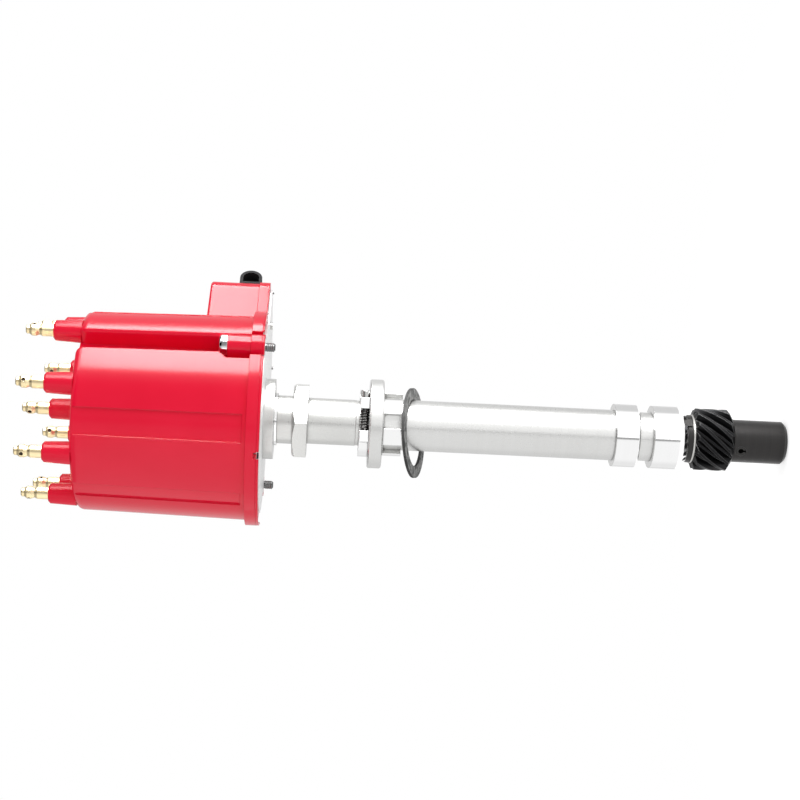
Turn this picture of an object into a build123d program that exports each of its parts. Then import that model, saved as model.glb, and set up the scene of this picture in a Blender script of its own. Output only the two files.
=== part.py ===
from build123d import *
import math
import os

os.makedirs("parts", exist_ok=True)

# Ignition distributor with an adjustable slip collar, millimetres.
# Z is the shaft axis and points up to the cap. The origin is the centre of the seating face of
# the slip collar. +X points to the module box on the side of the cap.

# ---------------------------------------------------------------- clearances
RUN = 0.05          # radial clearance of a shaft or sliding fit
FACE = 0.05         # axial clearance between faces that turn past each other
SEAT = 0.02         # gap left under a piece that rests on its seat
FIT = 0.15          # radial clearance of a piece dropped into a pocket
DROP = 0.3          # loose gap round moulded pieces
MERGE = 0.5         # how far joined solids run into each other

# ---------------------------------------------------------------- housing
TUBE_UPPER_D = 23.0         # ground tube that the collar slides on
TUBE_LOWER_D = 25.4
BOSS_D = 31.4               # machined pilots that fit the engine block
BOSS_UPPER_Z = -115.9       # top of the upper pilot
BOSS_UPPER_H = 12.0
GROOVE_H = 7.0              # oil groove between the pilots
GROOVE_D = 24.4
BOSS_LOWER_H = 17.7
BOSS_ROUND = 3.6            # rounded lower corner of the lower pilot
BOSS_EDGE = 0.8             # broken edge of the other pilot corners
HEX_Z = 37.4                # underside of the hexagon
HEX_H = 7.3
HEX_AF = 35.0
HEX_CHAMFER = 1.6
HEX_ANGLE = 39.8            # where one corner points
NECK_H = 9.2
NECK_D = 24.0
NECK_RING_D = 26.2          # turned shoulder under the disc
NECK_RING_H = 1.5
DISC_D = 40.0
DISC_H = 5.0
PLATE_D = 94.0
PLATE_H = 2.5
PLATE_RIB_H = 2.2
PLATE_RIB_W = 2.4
OIL_BORE_D = 15.4           # clearance bore between the bushings
RUNOUT_BAND_D = 22.5        # relief turned where the collar ring stops
RUNOUT_BAND_H = 1.8

# ---------------------------------------------------------------- shaft and bushings
SHAFT_D = 12.7
BUSH_WALL = 2.2
BUSH_LOWER_H = 30.0
BUSH_UPPER_H = 24.0
SHAFT_SLOT_W = 5.2          # slot that drives the oil pump
SHAFT_SLOT_DEPTH = 7.0
SHAFT_TOP_ABOVE_PLATE = 50.0
SHAFT_FLAT = 1.0            # depth of the flat that keys the rotor
SHAFT_FLAT_H = 12.0
SHAFT_EDGE = 0.8

# ---------------------------------------------------------------- slip collar, ring and gasket
COLLAR_FLANGE_D = 44.5
COLLAR_FLANGE_H = 6.9
COLLAR_PILOT_D = 31.4
COLLAR_PILOT_H = 9.6
COLLAR_SLOTS = 6
COLLAR_SLOT_W = 7.3
COLLAR_EDGE = 0.6
COLLAR_SLOT_STOP = 0.5      # the slots stop this far below the flange
COLLAR_SLOT_FLOOR = 1.2     # metal left under each slot
COLLAR_NECK_D = 27.0
COLLAR_NECK_H = 4.6
COLLAR_SPLIT_W = 2.4
COLLAR_SPLIT_ANGLE = -129.5
RING_D = 33.4
RING_H = 4.7
RING_GAP_W = 11.0
RING_LUG_W = 5.4
RING_LUG_D = 6.2
RING_LUG_IN = 1.5           # the lugs start this far inside the collar neck
PINCH_SCREW_D = 3.4
PINCH_HEAD_D = 4.5
PINCH_HEAD_H = 3.8
PINCH_HEAD_ROUND = 0.7
PINCH_KEY_R = 1.1           # hexagon socket
PINCH_KEY_DEPTH = 1.6
GASKET_D = 45.0
GASKET_BORE = 33.5
GASKET_T = 1.3
GASKET_Z = -15.8
GASKET_TILT = 16.0
GASKET_NOD = 4.2            # lean of the gasket across its tilt
GASKET_LEAN_ANGLE = 133.8   # the gasket hangs off centre towards this side
GASKET_CLEAR = 0.35

# ---------------------------------------------------------------- drive gear
GEAR_TEETH = 13
GEAR_D = 31.0
GEAR_ROOT_D = 24.6
GEAR_FACE = 20.0
GEAR_HELIX = 41.6           # helix angle at the tips, right hand
GEAR_TIP_W = 1.9
GEAR_ROOT_W = 4.5
GEAR_FLANK = 0.35           # how much the flanks bulge at the pitch line
GEAR_CHAMFER = 2.6          # long chamfer of the lower ends of the teeth
GEAR_CHAMFER_IN = 4.2
GEAR_TOP_CHAMFER = 1.4
GEAR_HUB_D = 21.4
GEAR_HUB_H = 27.0
GEAR_HUB_CHAMFER = 1.6
ROLL_PIN_D = 4.8
ROLL_PIN_WALL = 1.1
ROLL_PIN_SLIT = 0.9
ROLL_PIN_SHORT = 0.3        # the pin ends this far inside the hub
ROLL_PIN_SINK = 1.4         # countersink round the pin
ROLL_PIN_SINK_H = 2.0
ROLL_PIN_BELOW_FACE = 3.6
ROLL_PIN_ANGLE = 15.8
THRUST_T = 1.8
THRUST_D = 24.0
TANG_W = 4.2
TANG_H = 3.0
TANG_T = 2.6                # radial thickness of the tang
TANG_IN = 0.8               # tang inside the foot of the rounded corner
TANG_ANGLE = -96.0
SHIM_T = (0.6, 0.8)
SHIM_D = (23.6, 24.4)

# ---------------------------------------------------------------- cap
CAP_SINK = 1.2              # how far the cap hangs over the rim of the plate
CAP_H = 88.3
CAP_BASE_D = 101.8
CAP_TOP_D = 98.4
CAP_LIP_D = 106.9
CAP_LIP_H = 5.4
CAP_WALL = 3.0
LEDGE_W = 1.8               # inner ledge that rests on the rim of the plate
LEDGE_H = 3.0
CAP_TOP_ROUND = 3.4
CROWN_H = 30.5              # solid crown round the terminals
CROWN_BORE_D = 74.0
CROWN_ROOF = 7.5
PILLAR_D = 14.0
PILLAR_H = 11.0
TOWERS = 8
TOWER_PCD = 86.4
TOWER_ANGLE = 15.9
TOWER_BASE_D = 11.2
TOWER_TIP_D = 10.0
TOWER_H = 13.2
TOWER_CHAMFER = 1.0
COIL_TOWER_EXTRA = 3.6
GROOVE_ANGLE = 15.4         # angular width of the shallow side panels
GROOVE_NARROW = 10.8
GROOVE_DEPTH = 0.8
GROOVE_TOP = 2.0
SCREW_R = 48.0              # radius of the two cap screws, at +Y and -Y
CHANNEL_W = 10.8            # slots down the side of the cap, each round a screw boss
CHANNEL_FLOOR_R = 39.4
CHANNEL_EDGE = 2.2          # rounding of the slot's outer edges
CHANNEL_SIDE = 10.4         # below the screw seat the slot is this wide on one side
CHANNEL_SLOPE = 5.4         # height of the slope up to its narrow part
SCREW_SEAT_H = 16.6         # screw seat above the cap's base
VENT_W = 3.0                # drain notch in the foot of the cap
VENT_H = 1.3
VENT_ANGLE = 205.0
SCREW_BOSS_D = 10.4

# ---------------------------------------------------------------- module box on the cap
BOX_REACH = 73.0
BOX_H = 30.4
BOX_CORNER = 11.0
BOX_WALL = 2.6
BOX_LIP = 0.8
BOX_EDGE_ROUND = 1.4
MODULE_W = 52.0
MODULE_ROOM = 3.4           # free space beside the module in its box
MODULE_CORNER = 4.0
MODULE_X0 = 37.0
MODULE_X1 = 66.0
MODULE_BASE_T = 3.0
MODULE_BODY_T = 13.0
CONNECTOR_OVERHANG = 1.0    # the connector is longer than the module at each end
CONNECTOR_ROOT = 3.0        # how far the connector runs back into the potted body
CONNECTOR_W = 11.5
CONNECTOR_PROUD = 9.4
CONNECTOR_Z = 10.5          # centre of the connector above the cap's base
CONNECTOR_WALL = 1.6
SOCKET_DEPTH = 12.0
SOCKET_LAND = 0.6           # the sockets start this far outside the box
BLADE_W = 1.2
BLADE_T = 0.8
BLADE_L = 7.0
BLADE_STEP_X = 3.0
BLADE_STEP_Z = 3.6
MODULE_SCREW_D = 3.6
MODULE_SCREW_HEAD_D = 6.12
MODULE_SCREW_HEAD_H = 2.4
MODULE_SCREW_X = 45.0
MODULE_SCREW_INSET = 4.0    # screw centre from the edge of the module's base
MODULE_SETBACK = 2.0        # the potted body starts behind the edge of the base
MODULE_STEP = 8.5           # the potted body is this much narrower on each side
MODULE_PIN_D = 1.6
MODULE_PIN_X = 66.0
MODULE_PIN_PROUD = 0.8      # length of pin showing on each side of the plate
MODULE_PIN_OUT = 0.5        # pin centre outside the module's edge
TIP_BELOW_PLATE = 1.3

# ---------------------------------------------------------------- terminals, button, rotor
POST_L = 13.5
POST_LEVELS = (8.0, 6.6, 4.9, 3.0, 1.7, 0.5)    # steps of the outline below the tip
POST_D = 6.2
POST_BULB_D = 6.2
POST_NECK_D = 5.0
POST_TIP_D = 4.4
POST_HOLE_D = 1.9
STEM_D = 3.4
ELECTRODE_H = 6.0
ELECTRODE_W = 2.4
ELECTRODE_PROUD = 1.4
ELECTRODE_UP = 2.0          # above the foot of the crown
SPARK_GAP = 1.0
BUTTON_D = 5.0
BUTTON_L = 10.0
BUTTON_PROUD = 3.0          # below the pillar
BUTTON_ROUND = 1.2
BUTTON_TOP_DEPTH = 5.0      # roof of the cap above the bore of the button
SPRING_WIRE = 0.5
SPRING_TURNS = 5
ROTOR_D = 66.0
ROTOR_DISC_T = 3.0
ROTOR_SKIRT_H = 22.0
ROTOR_SKIRT_D = 58.0
ROTOR_WALL = 2.4
ROTOR_WEBS = 6
ROTOR_WEB_H = 8.0
ROTOR_HUB_D = 20.0
ROTOR_HUB_H = 24.0
BLADE_STRIP_W = 9.0
BLADE_STRIP_T = 1.2
CONTACT_BELOW_BUTTON = 0.1

# ---------------------------------------------------------------- pickup
PICKUP_TEETH = 8
TIMER_D = 33.2
TIMER_ROOT_D = 25.0
TIMER_H = 6.0
TIMER_HUB_D = 19.0
TIMER_HUB_H = 12.0
TIMER_TOOTH_W = 3.2
AIR_GAP = 0.4
POLE_D = 66.0
POLE_T = 2.0
POLE_BORE = 31.4
POLE_TOOTH_W = 3.2
POLE_TOOTH_L = 4.5
MAGNET_D = 62.0
MAGNET_BORE = 44.0
MAGNET_T = 4.0
COIL_D = 41.0
COIL_BORE = 35.4
RETAINER_T = 0.8
RETAINER_D = 30.0
RETAINER_GAP = 0.5
RETAINER_NOTCH = 5.0
RETAINER_NOTCHES = 3

# ---------------------------------------------------------------- cap screws
CAP_SCREW_D = 3.9
CAP_SCREW_HEAD_D = 10.2
CAP_SCREW_HEAD_H = 4.2
CAP_SCREW_HEAD_ROUND = 1.8
CAP_SCREW_POINT = 0.6
CROSS_L = 4.4               # cross recess
CROSS_W = 1.0
CROSS_DEPTH = 1.5
CAP_SCREW_TIP = 4.9         # tip below the plate
EAR_D = 8.4

# ---------------------------------------------------------------- derived levels
boss_upper_bottom = BOSS_UPPER_Z - BOSS_UPPER_H
boss_lower_top = boss_upper_bottom - GROOVE_H
housing_bottom = boss_lower_top - BOSS_LOWER_H
shoulder_z = -COLLAR_PILOT_H - SEAT
hex_top = HEX_Z + HEX_H
disc_z = hex_top + NECK_H
plate_z = disc_z + DISC_H
plate_top = plate_z + PLATE_H
cap_z = plate_top - CAP_SINK
cap_top = cap_z + CAP_H
thrust_z = housing_bottom - SEAT - THRUST_T
shim_tops = [thrust_z - FACE]
for t in SHIM_T:
    shim_tops.append(shim_tops[-1] - t - SEAT)
gear_top = shim_tops[-1]
gear_face_z = gear_top - GEAR_FACE
hub_z = gear_face_z - GEAR_HUB_H
shaft_top = plate_top + SHAFT_TOP_ABOVE_PLATE
tower_top = cap_top + TOWER_H
coil_tower_top = tower_top + COIL_TOWER_EXTRA
crown_z = cap_top - CROWN_H
roof_z = cap_top - CROWN_ROOF
pillar_z = roof_z - PILLAR_H
bush_r = SHAFT_D / 2 + RUN + BUSH_WALL
module_screw_y = MODULE_W / 2 - MODULE_SCREW_INSET
module_pin_y = MODULE_W / 2 + MODULE_PIN_OUT
box_w = MODULE_W + 2 * (MODULE_ROOM + BOX_WALL)
connector_l = MODULE_W + 2 * CONNECTOR_OVERHANG
channel_cut = CAP_LIP_D / 2             # radial depth of the cutters of the screw channels


def ring(outer_d, inner_d, z, h):
    """Plain ring about the shaft axis, from z up."""
    outer = Pos(0, 0, z + h / 2) * Cylinder(outer_d / 2, h)
    return outer - Pos(0, 0, z + h / 2) * Cylinder(inner_d / 2, 2 * h)


def disc(d, z, h):
    """Plain disc about the shaft axis, from z up."""
    return Pos(0, 0, z + h / 2) * Cylinder(d / 2, h)


def turned(points):
    """Solid of revolution about Z from (radius, z) corners."""
    return revolve(make_face(Plane.XZ * Polyline(*points, close=True)), Axis.Z)


def around(angle, shape):
    return Rot(0, 0, angle) * shape


def rounded_block(x0, x1, w, corner, z, h):
    """Block from x0 to x1, w wide, with round outer corners and a flat inner end."""
    with BuildSketch(Plane.XY.offset(z)) as sk:
        with Locations(((x0 + x1) / 2, 0)):
            Rectangle(x1 - x0, w)
        fillet(sk.vertices().group_by(Axis.X)[-1], corner)
    return extrude(sk.sketch, h)


def d_profile(x0, x1, z_mid, r):
    """D shaped section in the XZ plane, flat towards the box and round outside."""
    with BuildLine(Plane.XZ) as bl:
        Line((x1 - r, z_mid + r), (x0, z_mid + r))
        Line((x0, z_mid + r), (x0, z_mid - r))
        Line((x0, z_mid - r), (x1 - r, z_mid - r))
        ThreePointArc((x1 - r, z_mid - r), (x1, z_mid), (x1 - r, z_mid + r))
    return make_face(bl.line)


parts = {}

# ---------------------------------------------------------------- housing
profile = [
    (0, housing_bottom),
    (BOSS_D / 2 - BOSS_ROUND, housing_bottom),
    (BOSS_D / 2, housing_bottom + BOSS_ROUND),
    (BOSS_D / 2, boss_lower_top),
    (GROOVE_D / 2, boss_lower_top),
    (GROOVE_D / 2, boss_upper_bottom),
    (BOSS_D / 2 - BOSS_EDGE, boss_upper_bottom),
    (BOSS_D / 2, boss_upper_bottom + BOSS_EDGE),
    (BOSS_D / 2, BOSS_UPPER_Z),
    (TUBE_LOWER_D / 2, BOSS_UPPER_Z),
    (TUBE_LOWER_D / 2, shoulder_z),
    (TUBE_UPPER_D / 2, shoulder_z),
    (TUBE_UPPER_D / 2, COLLAR_FLANGE_H + RING_H + SEAT),
    (RUNOUT_BAND_D / 2, COLLAR_FLANGE_H + RING_H + SEAT),
    (RUNOUT_BAND_D / 2, COLLAR_FLANGE_H + RING_H + RUNOUT_BAND_H),
    (TUBE_UPPER_D / 2, COLLAR_FLANGE_H + RING_H + RUNOUT_BAND_H),
    (TUBE_UPPER_D / 2, HEX_Z),
    (NECK_D / 2, HEX_Z),
    (NECK_D / 2, disc_z - NECK_RING_H),
    (NECK_RING_D / 2, disc_z - NECK_RING_H),
    (NECK_RING_D / 2, disc_z),
    (DISC_D / 2, disc_z),
    (DISC_D / 2, plate_z),
    (PLATE_D / 2, plate_z),
    (PLATE_D / 2, plate_top),
    (0, plate_top),
]
with BuildPart() as hb:
    with BuildSketch(Plane.XZ):
        with BuildLine():
            Polyline(*profile, close=True)
        make_face()
    revolve(axis=Axis.Z)
    # rounded lead-in of the lower pilot
    fillet(hb.edges().filter_by(GeomType.CIRCLE).filter_by(
        lambda e: abs(e.center().Z - housing_bottom - BOSS_ROUND) < 0.01
        and abs(e.radius - BOSS_D / 2) < 0.01), BOSS_ROUND * 0.9)
housing = hb.part
# hexagon for the adjusting wrench, chamfered towards the cap
with BuildSketch(Plane.XY.offset(HEX_Z)) as hs:
    RegularPolygon(HEX_AF / 2, 6, major_radius=False)
hexagon = extrude(hs.sketch, HEX_H)
hex_r = HEX_AF / 2 / math.cos(math.pi / 6)
hex_cone = turned([(0, HEX_Z), (hex_r, HEX_Z), (hex_r, hex_top - HEX_CHAMFER),
                   (hex_r - 2 * HEX_CHAMFER, hex_top), (0, hex_top)])
housing += around(HEX_ANGLE, hexagon & hex_cone)
# tray under the module box and ears for the cap screws
tray_reach = BOX_REACH - BOX_WALL - DROP
tray_w = box_w - 2 * BOX_WALL - 2 * DROP
housing += rounded_block(PLATE_D / 4, tray_reach, tray_w, BOX_CORNER - BOX_WALL, plate_z, PLATE_H)
for side in (-1, 1):
    housing += Pos(0, side * SCREW_R, plate_z + PLATE_H / 2) * Cylinder(EAR_D / 2, PLATE_H)
# centring rib for the pickup stack
housing += ring(POLE_D + 2 * (FIT + PLATE_RIB_W), POLE_D + 2 * FIT, plate_top, PLATE_RIB_H)
# bores
bore_top = plate_top - BUSH_UPPER_H
housing -= disc(OIL_BORE_D, housing_bottom - 1, plate_top - housing_bottom + 2)
housing -= disc(2 * (bush_r + SEAT), housing_bottom - 1, BUSH_LOWER_H + 1)
housing -= disc(2 * (bush_r + SEAT), bore_top, BUSH_UPPER_H + 1)
# notch for the tang of the thrust washer
tang_r = BOSS_D / 2 - BOSS_ROUND - TANG_IN
notch_r0 = tang_r - TANG_T / 2 - FIT
notch = Pos((notch_r0 + BOSS_D / 2 + 1) / 2, 0, housing_bottom + TANG_H / 2) * Box(
    BOSS_D / 2 + 1 - notch_r0, TANG_W + 2 * FIT, TANG_H + 2 * SEAT)
housing -= around(TANG_ANGLE, notch)
# threaded holes of the cap screws, module screws and locating pins
for side in (-1, 1):
    housing -= Pos(0, side * SCREW_R, plate_z) * Cylinder(CAP_SCREW_D / 2 + SEAT, 4 * PLATE_H)
    housing -= Pos(MODULE_SCREW_X, side * module_screw_y, plate_z) * Cylinder(
        MODULE_SCREW_D / 2 + SEAT, 4 * PLATE_H)
    housing -= Pos(MODULE_PIN_X, side * module_pin_y, plate_z) * Cylinder(
        MODULE_PIN_D / 2 + SEAT, 4 * PLATE_H)
parts["housing"] = housing

# ---------------------------------------------------------------- bushings
parts["lower_bushing"] = ring(2 * bush_r, SHAFT_D + 2 * RUN, housing_bottom, BUSH_LOWER_H - SEAT)
parts["upper_bushing"] = ring(2 * bush_r, SHAFT_D + 2 * RUN, bore_top + SEAT, BUSH_UPPER_H - SEAT)

# ---------------------------------------------------------------- thrust washer and shims
tang = Pos(tang_r, 0, thrust_z + (THRUST_T + TANG_H) / 2) * Box(TANG_T, TANG_W, THRUST_T + TANG_H)
washer_outer = disc(THRUST_D, thrust_z, THRUST_T) + around(TANG_ANGLE, tang)
parts["thrust_washer"] = washer_outer - disc(SHAFT_D + 2 * RUN, thrust_z - 1, THRUST_T + 2)
shim_names = ("shim_thin", "shim_thick")
for name, d, t, top in zip(shim_names, SHIM_D, SHIM_T, shim_tops):
    parts[name] = ring(d, SHAFT_D + 2 * SEAT, top - t, t)

# ---------------------------------------------------------------- drive gear with its hub
root_r, tip_r = GEAR_ROOT_D / 2, GEAR_D / 2
pitch_r = (root_r + tip_r) / 2
pitch_w = (GEAR_TIP_W + GEAR_ROOT_W) / 2 + GEAR_FLANK
corners = []
for k in range(GEAR_TEETH):
    for r, w in ((root_r, -GEAR_ROOT_W), (pitch_r, -pitch_w), (tip_r, -GEAR_TIP_W),
                 (tip_r, GEAR_TIP_W), (pitch_r, pitch_w), (root_r, GEAR_ROOT_W)):
        a = 2 * math.pi * k / GEAR_TEETH + w / 2 / r
        corners.append((r * math.cos(a), r * math.sin(a)))
tooth_face = make_face(Polyline(*corners, close=True))
twist = math.degrees(GEAR_FACE * math.tan(math.radians(GEAR_HELIX)) / tip_r)
helical = Solid.extrude_linear_with_rotation(
    tooth_face.face().outer_wire(), (0, 0, 0), (0, 0, GEAR_FACE), twist)
helical = Pos(0, 0, gear_face_z) * Part([helical])
crown = turned([(0, gear_face_z), (tip_r - GEAR_CHAMFER_IN, gear_face_z),
                (tip_r, gear_face_z + GEAR_CHAMFER), (tip_r, gear_top - GEAR_TOP_CHAMFER),
                (root_r, gear_top), (0, gear_top)])
gear = helical & crown
gear += turned([(0, hub_z), (GEAR_HUB_D / 2 - GEAR_HUB_CHAMFER, hub_z),
                (GEAR_HUB_D / 2, hub_z + GEAR_HUB_CHAMFER), (GEAR_HUB_D / 2, gear_face_z + MERGE),
                (0, gear_face_z + MERGE)])
gear -= disc(SHAFT_D + 2 * SEAT, hub_z - 1, GEAR_FACE + GEAR_HUB_H + 2)
pin_z = gear_face_z - ROLL_PIN_BELOW_FACE
pin_hole = Pos(0, 0, pin_z) * Rot(0, 90, 0) * Cylinder(ROLL_PIN_D / 2 + SEAT, 2 * GEAR_HUB_D)
pin_sink = Pos(GEAR_HUB_D / 2, 0, pin_z) * Rot(0, 90, 0) * Cone(
    ROLL_PIN_D / 2 + ROLL_PIN_SINK - ROLL_PIN_SINK_H, ROLL_PIN_D / 2 + ROLL_PIN_SINK, ROLL_PIN_SINK_H)
gear -= around(ROLL_PIN_ANGLE, pin_hole)
gear -= around(ROLL_PIN_ANGLE, pin_sink) + around(ROLL_PIN_ANGLE + 180, pin_sink)
parts["drive_gear"] = gear

# ---------------------------------------------------------------- shaft
shaft_len = shaft_top - hub_z
shaft = disc(SHAFT_D, hub_z, shaft_len)
shaft = chamfer(shaft.edges().group_by(Axis.Z)[-1], SHAFT_EDGE)
shaft -= Pos(0, 0, hub_z) * Box(SHAFT_SLOT_W, 2 * SHAFT_D, 2 * SHAFT_SLOT_DEPTH)
shaft -= Pos(SHAFT_D - SHAFT_FLAT, 0, shaft_top - SHAFT_FLAT_H / 2) * Box(SHAFT_D, SHAFT_D, SHAFT_FLAT_H)
shaft -= around(ROLL_PIN_ANGLE, pin_hole)
parts["shaft"] = shaft

roll_pin_r = ROLL_PIN_D / 2
roll_pin = Pos(0, 0, pin_z) * Rot(0, 90, 0) * (
    Cylinder(roll_pin_r, GEAR_HUB_D - 2 * ROLL_PIN_SHORT)
    - Cylinder(roll_pin_r - ROLL_PIN_WALL, 2 * GEAR_HUB_D))
roll_pin -= Pos(0, 0, pin_z - roll_pin_r) * Box(2 * GEAR_HUB_D, ROLL_PIN_SLIT, roll_pin_r)
parts["roll_pin"] = around(ROLL_PIN_ANGLE, roll_pin)

# ---------------------------------------------------------------- slip collar
collar = disc(COLLAR_PILOT_D, -COLLAR_PILOT_H, COLLAR_PILOT_H)
collar += chamfer(disc(COLLAR_FLANGE_D, 0, COLLAR_FLANGE_H).edges().filter_by(GeomType.CIRCLE), COLLAR_EDGE)
collar += disc(COLLAR_NECK_D, COLLAR_FLANGE_H, COLLAR_NECK_H)
collar_bore_r = TUBE_UPPER_D / 2 + RUN
slot_floor = collar_bore_r + COLLAR_SLOT_FLOOR
slot_depth = COLLAR_PILOT_D / 2 - slot_floor + 1
slot = Pos(slot_floor + slot_depth / 2, 0, -COLLAR_PILOT_H / 2 - COLLAR_SLOT_STOP) * Box(
    slot_depth, COLLAR_SLOT_W, COLLAR_PILOT_H)
for k in range(COLLAR_SLOTS):
    collar -= around(COLLAR_SPLIT_ANGLE + 360 * k / COLLAR_SLOTS, slot)
collar -= disc(2 * collar_bore_r, -COLLAR_PILOT_H - 1, COLLAR_PILOT_H + COLLAR_FLANGE_H + COLLAR_NECK_H + 2)
split = Pos(COLLAR_NECK_D / 2, 0, COLLAR_FLANGE_H + COLLAR_NECK_H / 2 + 0.5) * Box(
    COLLAR_NECK_D, COLLAR_SPLIT_W, COLLAR_NECK_H + 1)
collar -= around(COLLAR_SPLIT_ANGLE, split & disc(COLLAR_NECK_D + 4, COLLAR_FLANGE_H, COLLAR_NECK_H + 2))
parts["slip_collar"] = collar

# ---------------------------------------------------------------- clamp ring and pinch screw
ring_z = COLLAR_FLANGE_H + SEAT
ring_mid = ring_z + RING_H / 2
neck_r = COLLAR_NECK_D / 2 + SEAT
screw_line = neck_r + PINCH_SCREW_D / 2 + DROP
clamp = ring(RING_D, 2 * neck_r, ring_z, RING_H)
lug_r0 = neck_r - RING_LUG_IN
for side in (-1, 1):
    lug_mid = side * (RING_GAP_W / 2 + RING_LUG_W / 2)
    clamp += Pos(lug_r0 + RING_LUG_D / 2, lug_mid, ring_mid) * Box(RING_LUG_D, RING_LUG_W, RING_H)
clamp -= disc(2 * neck_r, ring_z - 1, RING_H + 2)
clamp -= Pos(neck_r + RING_LUG_D / 2, 0, ring_mid) * Box(RING_D / 2, RING_GAP_W, 2 * RING_H)
clamp -= Pos(screw_line, 0, ring_mid) * Rot(90, 0, 0) * Cylinder(PINCH_SCREW_D / 2 + SEAT, 2 * RING_D)
head_y = RING_GAP_W / 2 + RING_LUG_W + SEAT
clamp -= Pos(screw_line, head_y + PINCH_HEAD_H / 2, ring_mid) * Box(
    PINCH_HEAD_D + 2 * FIT, PINCH_HEAD_H + 2 * SEAT, 2 * RING_H)
parts["clamp_ring"] = around(COLLAR_SPLIT_ANGLE, clamp)
pinch_l = RING_GAP_W + 2 * RING_LUG_W
pinch = Pos(screw_line, SEAT / 2, ring_mid) * Rot(90, 0, 0) * Cylinder(PINCH_SCREW_D / 2, pinch_l + SEAT)
pinch_head = Pos(screw_line, head_y + PINCH_HEAD_H / 2, ring_mid) * Rot(-90, 0, 0) * Cylinder(
    PINCH_HEAD_D / 2, PINCH_HEAD_H)
pinch_head = fillet(pinch_head.edges().group_by(Axis.Y)[-1], PINCH_HEAD_ROUND)
pinch_head -= Pos(screw_line, head_y + PINCH_HEAD_H, ring_mid) * Rot(-90, 0, 0) * extrude(
    RegularPolygon(PINCH_KEY_R, 6), PINCH_KEY_DEPTH, both=True)
parts["pinch_screw"] = around(COLLAR_SPLIT_ANGLE, pinch + pinch_head)

# ---------------------------------------------------------------- gasket, hanging off centre
gasket_lean = GASKET_BORE / 2 - TUBE_LOWER_D / 2 - GASKET_CLEAR
gasket = Cylinder(GASKET_D / 2, GASKET_T) - Cylinder(GASKET_BORE / 2, 3 * GASKET_T)
gasket = Rot(0, GASKET_NOD, 0) * Rot(GASKET_TILT, 0, 0) * gasket
gasket = around(GASKET_LEAN_ANGLE, Pos(gasket_lean, 0, 0) * gasket)
parts["gasket"] = Pos(0, 0, GASKET_Z) * gasket

# ---------------------------------------------------------------- pickup: magnet, pole, coil, retainer
magnet_z = plate_top + SEAT
parts["lower_pole"] = ring(POLE_D, POLE_BORE, magnet_z, POLE_T)
magnet_z += POLE_T + SEAT
parts["magnet_ring"] = ring(MAGNET_D, MAGNET_BORE, magnet_z, MAGNET_T)
pole_z = magnet_z + MAGNET_T + SEAT
pole_inner_r = TIMER_D / 2 + AIR_GAP
pole = ring(POLE_D, 2 * (pole_inner_r + POLE_TOOTH_L), pole_z, POLE_T)
tooth_mid = pole_inner_r + (POLE_TOOTH_L + 1) / 2
tooth = Pos(tooth_mid, 0, pole_z + POLE_T / 2) * Box(POLE_TOOTH_L + 1, POLE_TOOTH_W, POLE_T)
tooth -= disc(2 * pole_inner_r, pole_z - 1, POLE_T + 2)
for k in range(PICKUP_TEETH):
    pole += around(360 * k / PICKUP_TEETH, tooth)
parts["pole_piece"] = pole
coil_h = MAGNET_T - 2 * SEAT
parts["pickup_coil"] = ring(COIL_D, COIL_BORE, magnet_z + SEAT, coil_h - SEAT)
retainer_z = plate_top + SEAT
retainer = ring(RETAINER_D, 2 * (bush_r + RETAINER_GAP), retainer_z, RETAINER_T)
for k in range(RETAINER_NOTCHES):
    retainer -= around(360 * (k + 0.5) / RETAINER_NOTCHES, Pos(RETAINER_D / 2, 0, retainer_z) * Box(
        RETAINER_NOTCH, RETAINER_NOTCH, 4 * RETAINER_T))
parts["pickup_retainer"] = retainer

# timer core on the shaft, level with the teeth of the pole piece
timer_z = pole_z - (TIMER_H - POLE_T) / 2
timer = ring(TIMER_ROOT_D, SHAFT_D + 2 * SEAT, timer_z, TIMER_H)
timer += ring(TIMER_HUB_D, SHAFT_D + 2 * SEAT, timer_z, TIMER_HUB_H)
t_len = (TIMER_D - TIMER_ROOT_D) / 2 + 1
t_tooth = Pos(TIMER_D / 2 - t_len / 2, 0, timer_z + TIMER_H / 2) * Box(t_len, TIMER_TOOTH_W, TIMER_H)
t_tooth &= disc(TIMER_D, timer_z, TIMER_H)
for k in range(PICKUP_TEETH):
    timer += around(360 * (k + 0.5) / PICKUP_TEETH, t_tooth)
parts["timer_core"] = timer

# ---------------------------------------------------------------- module, connector, screws, pins
module_z = plate_top + SEAT
base = rounded_block(MODULE_X0, MODULE_X1, MODULE_W, MODULE_CORNER, module_z, MODULE_BASE_T)
body = rounded_block(MODULE_X0 + MODULE_SETBACK, MODULE_X1, MODULE_W - 2 * MODULE_STEP, MODULE_CORNER,
                     module_z + MODULE_BASE_T, MODULE_BODY_T)
conn_z = cap_z + CONNECTOR_Z
conn_reach = BOX_REACH + CONNECTOR_PROUD
conn_r = CONNECTOR_W / 2
connector = d_profile(MODULE_X1 - CONNECTOR_ROOT, conn_reach, conn_z, conn_r)
connector = extrude(connector, connector_l / 2, both=True)
sock_x0 = BOX_REACH + SOCKET_LAND
sock_r = conn_r - CONNECTOR_WALL
socket = extrude(d_profile(sock_x0, conn_reach - CONNECTOR_WALL, conn_z, sock_r), SOCKET_DEPTH, both=True)
for side in (-1, 1):
    connector -= Pos(0, side * connector_l / 2, 0) * socket
module = base + body + connector
for side in (-1, 1):
    module -= Pos(MODULE_SCREW_X, side * module_screw_y, module_z) * Cylinder(
        MODULE_SCREW_D / 2 + FIT, 3 * MODULE_BASE_T)
parts["ignition_module"] = module
blades = []
sock_mid = (sock_x0 + conn_reach - 1.0) / 2
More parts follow.
